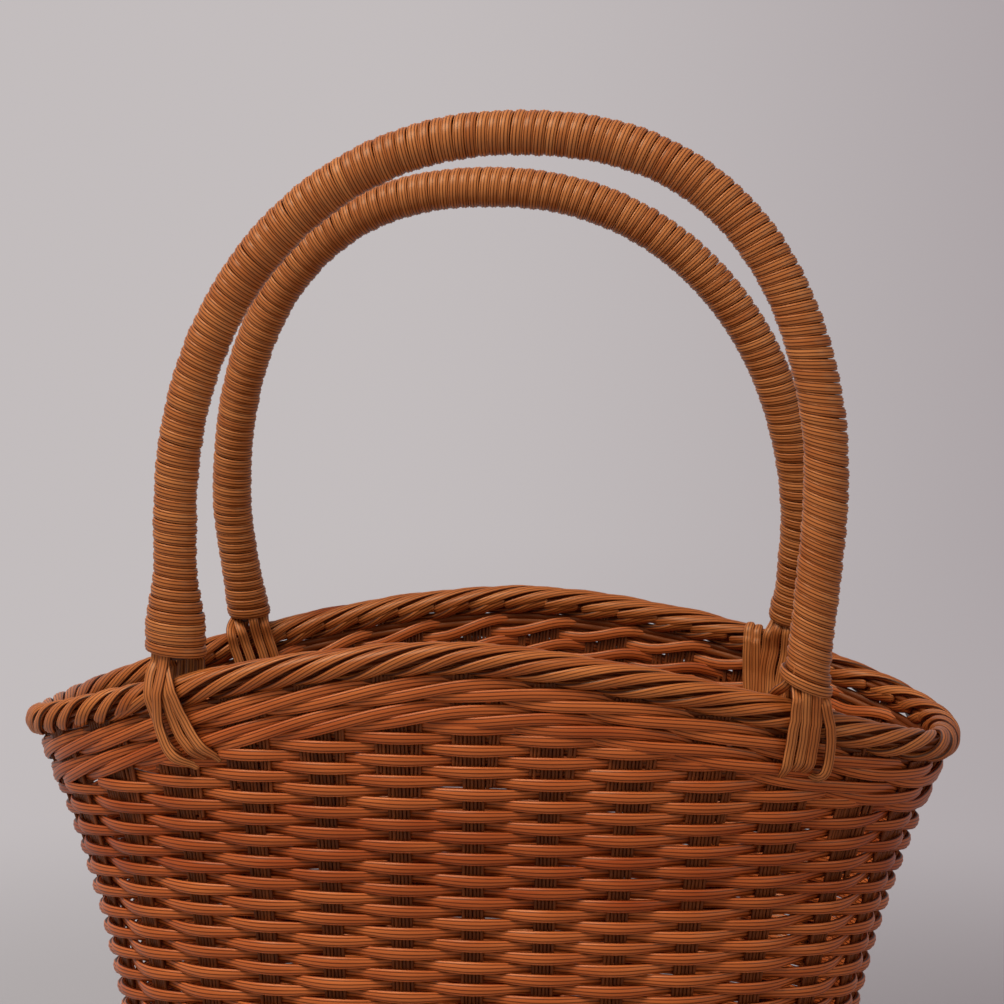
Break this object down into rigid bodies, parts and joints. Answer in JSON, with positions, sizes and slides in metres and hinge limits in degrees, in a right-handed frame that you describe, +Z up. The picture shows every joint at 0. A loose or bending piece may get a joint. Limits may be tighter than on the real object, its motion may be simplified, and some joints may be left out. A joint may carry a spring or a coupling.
{
  "type": "shopping basket",
  "caption": "Oval open basket woven from plastic cane, with a crested rolled border and a pair of arched wrapped handles lashed to it that lean in and out.",
  "frame": {"origin": "middle of the underside of the base, on the surface the basket stands on", "axes": "+X along the length of the mouth to the picture's right, +Y from the front handle to the back handle, +Z up"},
  "size_m": [0.3921, 0.224, 0.4639],
  "materials": {
    "woven_cane": "orange-brown ribbed plastic cane, satin",
    "stake_cane": "darker ribbed plastic cane, satin",
    "border_cane": "caramel ribbed plastic cane, satin",
    "wrap_cane": "golden-brown ribbed plastic cane, satin",
    "handle_rod": "plain round rod, hidden by the winding"
  },
  "bodies": {
    "basket": {"base_weave": "woven_cane", "base_stick_1": "stake_cane", "base_stick_2": "stake_cane", "base_stick_3": "stake_cane", "base_stick_4": "stake_cane", "base_stick_5": "stake_cane", "base_stick_6": "stake_cane", "base_stick_7": "stake_cane", "base_stick_8": "stake_cane", "base_stick_9": "stake_cane", "foot_wale": "woven_cane", "side_weave": "woven_cane", "stake_01": "stake_cane", "stake_02": "stake_cane", "stake_03": "stake_cane", "stake_04": "stake_cane", "stake_05": "stake_cane", "stake_06": "stake_cane", "stake_07": "stake_cane", "stake_08": "stake_cane", "stake_09": "stake_cane", "stake_10": "stake_cane", "stake_11": "stake_cane", "stake_12": "stake_cane", "stake_13": "stake_cane", "stake_14": "stake_cane", "stake_15": "stake_cane", "stake_16": "stake_cane", "stake_17": "stake_cane", "stake_18": "stake_cane", "stake_19": "stake_cane", "stake_20": "stake_cane", "stake_21": "stake_cane", "stake_22": "stake_cane", "stake_23": "stake_cane", "stake_24": "stake_cane", "stake_25": "stake_cane", "stake_26": "stake_cane", "stake_27": "stake_cane", "stake_28": "stake_cane", "stake_29": "stake_cane", "stake_30": "stake_cane", "stake_31": "stake_cane", "lower_wale": "woven_cane", "upper_wale": "woven_cane", "border": "border_cane", "front_left_lashing_outer": "wrap_cane", "front_left_lashing_inner": "wrap_cane", "front_right_lashing_outer": "wrap_cane", "front_right_lashing_inner": "wrap_cane", "back_left_lashing_outer": "wrap_cane", "back_left_lashing_inner": "wrap_cane", "back_right_lashing_outer": "wrap_cane", "back_right_lashing_inner": "wrap_cane"},
    "front_handle": {"front_handle_core": "handle_rod", "front_handle_wrap": "wrap_cane"},
    "back_handle": {"back_handle_core": "handle_rod", "back_handle_wrap": "wrap_cane"}
  },
  "joints": [
    {"name": "front_handle_lean", "type": "hinge", "parent": "basket", "child": "front_handle", "pos_m": [0.01299, -0.09025, 0.24145], "axis": [0.9996, 0.002, -0.0296], "range_deg": [-25, 25], "deforming": ["front_left_lashing_outer", "front_left_lashing_inner", "front_right_lashing_outer", "front_right_lashing_inner"]},
    {"name": "back_handle_lean", "type": "hinge", "parent": "basket", "child": "back_handle", "pos_m": [-0.00139, 0.0876, 0.24127], "axis": [1, -0.0018, 0.0086], "range_deg": [-33, 10.5], "deforming": ["back_left_lashing_outer", "back_left_lashing_inner", "back_right_lashing_outer", "back_right_lashing_inner"]}
  ]
}
